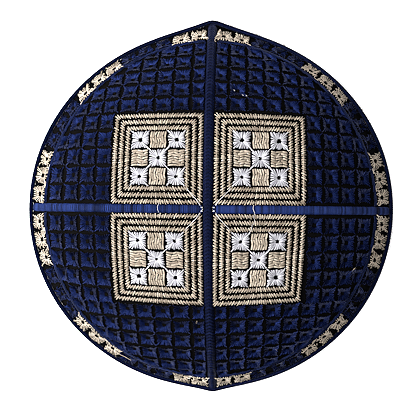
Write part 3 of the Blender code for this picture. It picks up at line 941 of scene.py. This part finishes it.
def make_brim_stitches(material):
    """A line of running stitches that holds the tape, near its top."""
    sewing = Sewing()
    count, length = 200, 0.022
    starts = np.linspace(0.0, 2 * math.pi, count, endpoint=False)
    height = BINDING_HEIGHT - 1.6 * MM
    lift = GAP + BINDING_THICK
    start = points_of(starts, height, lift)
    stop = points_of(starts + length, height, lift)
    sewing.add(on_band, arched(start, stop, 0.3 * MM, SATIN), 0.22 * MM)
    sewing.piece("brim_stitches", material, "navy_thread")


# Materials

# The two plies turn round each other once in a TWIST. The fibres are 0.02 mm thick in truth,
# too fine to show from here, and are drawn over five times coarser.
PLIES = 2
TWIST = 0.9 * MM
FIBRE = MM / 9

# Threads by colour: the material's name, its darkest and brightest shade, the tint of its
# gloss, and its roughness and specular level. Filament rayon is smooth and glossy, near 0.4 in
# roughness, and its dye tints the gloss. The IOR stays at 1.5, as rayon's is 1.53. Seams and
# cord are rubbed, so their gloss is duller; the shades of the two seam navies are painted
# light and painted shade.
THREAD_LOOKS = {
    # Deep blue, with a cold sheen on the sides that face the light
    "navy": ("navy_rayon", ("#050817", "#111d48"), "#6a88ff", (0.4, 0.75)),
    # A lit copy of the navy, the brightest and plainest blue: its brighter shades are painted light
    "lit_navy": ("seam_navy_rayon", ("#070b1e", "#263872"), "#9fb0ff", (0.6, 0.3)),
    # A dull dark edge
    "cord_navy": ("cord_navy_rayon", ("#060a1a", "#141d44"), "#94a6ff", (0.55, 0.3)),
    # A shaded copy of the navy, nearly black in the furrows of the chevrons: its dark shades are painted
    # shade
    "shaded_navy": ("deep_navy_rayon", ("#020309", "#101838"), "#94a6ff", (0.55, 0.22)),
    # Warm cream down to tan: tan at random on some threads, and as painted shade on the padding in the slits
    "beige": ("beige_rayon", ("#958675", "#ddcfbd"), "#fff4ea", (0.36, 0.9)),
    # Bluish white, the lightest thing on the hat
    "white": ("white_rayon", ("#aeacb4", "#e8e8ec"), "#ffffff", (0.45, 0.6)),
}

# Woven goods: the material's name, the ways its ribs run, how far apart they are and how much
# they waver, the size and detail of its patches, its two shades, and its roughness and
# specular level. Cotton is rough, at 0.8 to 0.95. The ribs are finer than a pixel of the
# picture, and show only from near by.
WOVEN_LOOKS = {
    # Ground cloth in plain weave, 22 threads to the centimetre, with patches of lint: a matt,
    # deep black between the stars
    "cloth": ("black_cotton", ("X", "Y"), 0.4488 * MM, 1.2, 2.857 * MM, 4.0,
              ("#050506", "#0f0e0f"), (0.95, 0.03)),
    # Tape in twill, 16 ribs to the centimetre, of flecked yarn: a low, soft sheen
    "tape": ("navy_cotton_tape", ("DIAGONAL",), 0.6283 * MM, 0.0, 0.667 * MM, 2.0,
             ("#0a0f22", "#1a2448"), (0.8, 0.2)),
}


def new_material(name):
    """A material, its node tree, its surface shader and its place on the object."""
    material = bpy.data.materials.new(name)
    material.use_nodes = True
    tree = material.node_tree
    place = add_node(tree, "ShaderNodeTexCoord", result="Object")
    return material, tree, tree.nodes["Principled BSDF"], place


def coat(surface, share, shades, relief, strength, depth, gloss):
    """Colours a surface between two shades by a share from 0 to 1, and bumps it by a relief."""
    tree = surface.id_data
    dark, light = (linear(shade) for shade in shades)
    colour = add_node(tree, "ShaderNodeMix", {"Factor": share, "A": dark, "B": light}, "Result",
                      data_type="RGBA")
    bump = add_node(tree, "ShaderNodeBump", {"Strength": strength, "Distance": depth, "Height": relief})
    fill_in(surface, {"Base Color": colour, "Normal": bump, "Roughness": gloss[0],
                      "Specular IOR Level": gloss[1]})


def thread_material(name, shades, tint, gloss):
    """Dyed rayon in two plies, whose twist breaks the gloss into a slanted glitter.

    The tone, from the threads' own attribute, makes no two stitches quite alike, and carries the painted
    light and shade laid on some of them.
    """
    material, tree, surface, place = new_material(name)
    tone, along, around = (add_node(tree, "ShaderNodeAttribute", result="Fac", attribute_name=label)
                           for label in ("tone", "along", "around"))
    turns = add_node(tree, "ShaderNodeMath", {0: along, 1: 1 / TWIST, 2: around}, operation="MULTIPLY_ADD")
    angle = add_node(tree, "ShaderNodeMath", {0: turns, 1: 2.0 * math.pi * PLIES}, operation="MULTIPLY")
    twist = add_node(tree, "ShaderNodeMath", {0: angle}, operation="SINE")
    fibre = add_node(tree, "ShaderNodeTexNoise", {"Vector": place, "Scale": 1 / FIBRE, "Detail": 1.0})
    relief = add_node(tree, "ShaderNodeMath", {0: twist, 1: 0.7, 2: fibre}, operation="MULTIPLY_ADD")
    coat(surface, tone, shades, relief, 0.35, 0.05 * MM, gloss)
    fill_in(surface, {"Specular Tint": linear(tint)})
    return material


def woven_material(name, ways, spacing, waver, patch, detail, shades, gloss):
    """Dyed cotton, woven in crossing ribs. A wave's bands lie 2 pi / (20 x scale) apart."""
    material, tree, surface, place = new_material(name)
    ribs = {"Vector": place, "Scale": 2.0 * math.pi / (20.0 * spacing), "Distortion": waver}
    relief = 1.0
    for way in ways:
        rib = add_node(tree, "ShaderNodeTexWave", ribs, "Fac", bands_direction=way)
        relief = add_node(tree, "ShaderNodeMath", {0: rib, 1: relief}, operation="MULTIPLY")
    patches = add_node(tree, "ShaderNodeTexNoise", {"Vector": place, "Scale": 1 / patch, "Detail": detail})
    coat(surface, patches, shades, relief, 0.5, 0.1 * MM, gloss)
    return material


def floor_material():
    """Matt white studio paper, lit from below so that the hat's shadow hardly shows on it."""
    material, _, surface, _ = new_material("studio_paper")
    fill_in(surface, {"Base Color": linear("#f7f7f7"), "Roughness": 1.0, "Specular IOR Level": 0.0,
                      "Emission Color": linear("#ffffff"), "Emission Strength": 0.88})
    return material


# The scene

def add_light(name, place, watts):
    """A square softbox that is aimed at the hat."""
    lamp = bpy.data.lights.new(name, "AREA")
    lamp.size = 0.35
    lamp.energy = watts
    holder = put_in_scene(name, lamp)
    holder.location = place
    aim = Vector((0.0, 0.0, 0.06)) - Vector(place)
    holder.rotation_euler = aim.to_track_quat("-Z", "Y").to_euler()


def make_stage(material):
    """The floor, dim light all round, a key light low on the left and a weaker one overhead."""
    reach = 3.0
    corners = [(x * reach, y * reach, 0.0) for x, y in ((-1, -1), (1, -1), (1, 1), (-1, 1))]
    mesh = bpy.data.meshes.new("floor")
    mesh.from_pydata(corners, [], [(0, 1, 2, 3)])
    mesh.materials.append(material)
    put_in_scene("floor", mesh)
    world = bpy.data.worlds.new("studio")
    world.use_nodes = True
    fill_in(world.node_tree.nodes["Background"], {"Color": linear("#ffffff"), "Strength": 0.06})
    bpy.context.scene.world = world
    add_light("key", (-0.95, 0.1, 0.95), 31.0)
    add_light("top", (-0.1, 0.0, 1.6), 12.0)


def make_camera():
    """Above the hat and 2.35 degrees to its right, at the photograph's scale and framing."""
    pixel, frame_px, distance, sensor_mm = 0.5254 * MM, 416, 1.3, 36.0
    lean = math.radians(2.35)
    target = Vector((-2.8 * pixel, -1.2 * MM + 0.1 * pixel, 43.5 * MM))
    back = Vector((math.sin(lean), 0.0, math.cos(lean)))
    right = Vector((0.0, 1.0, 0.0)).cross(back).normalized()
    up = back.cross(right)
    lens = bpy.data.cameras.new("camera")
    lens.sensor_width = sensor_mm
    lens.lens = sensor_mm * distance / (frame_px * pixel)
    lens.clip_end = 20.0
    camera = put_in_scene("camera", lens)
    turn = Matrix((right, up, back)).transposed().to_4x4()
    camera.matrix_world = Matrix.Translation(target + back * distance) @ turn
    bpy.context.scene.camera = camera


def crisp_picture():
    """The light sharpening of a product photograph, done on values as bright as a screen's."""
    scene = bpy.context.scene
    scene.use_nodes = True
    tree = scene.node_tree
    tree.nodes.clear()
    screen_gamma = 2.2
    image = add_node(tree, "CompositorNodeRLayers")
    image = add_node(tree, "CompositorNodeGamma", {"Image": image, "Gamma": 1 / screen_gamma})
    image = add_node(tree, "CompositorNodeFilter", {"Image": image, "Fac": 0.3},
                     filter_type="SHARPEN_DIAMOND")
    image = add_node(tree, "CompositorNodeGamma", {"Image": image, "Gamma": screen_gamma})
    add_node(tree, "CompositorNodeComposite", {"Image": image})


def main():
    bpy.context.scene.view_settings.view_transform = "Standard"
    crisp_picture()
    materials = {key: thread_material(*look) for key, look in THREAD_LOOKS.items()}
    materials.update((key, woven_material(*look)) for key, look in WOVEN_LOOKS.items())
    for gore in GORES:
        make_gore_cloth(gore, materials["cloth"])
        make_crown_stars(gore, materials)
        make_band_stars(gore, materials)
        make_frame_stitches(gore, materials["beige"])
        make_checker_stitches(gore, materials)
        make_ring_threads(gore, materials["lit_navy"])
    make_band_cloth(materials["cloth"])
    make_binding(materials["tape"])
    make_seam_threads(materials)
    make_cord(materials["cord_navy"])
    make_brim_stitches(materials["navy"])
    make_loose_threads(materials)
    make_stage(floor_material())
    make_camera()


main()
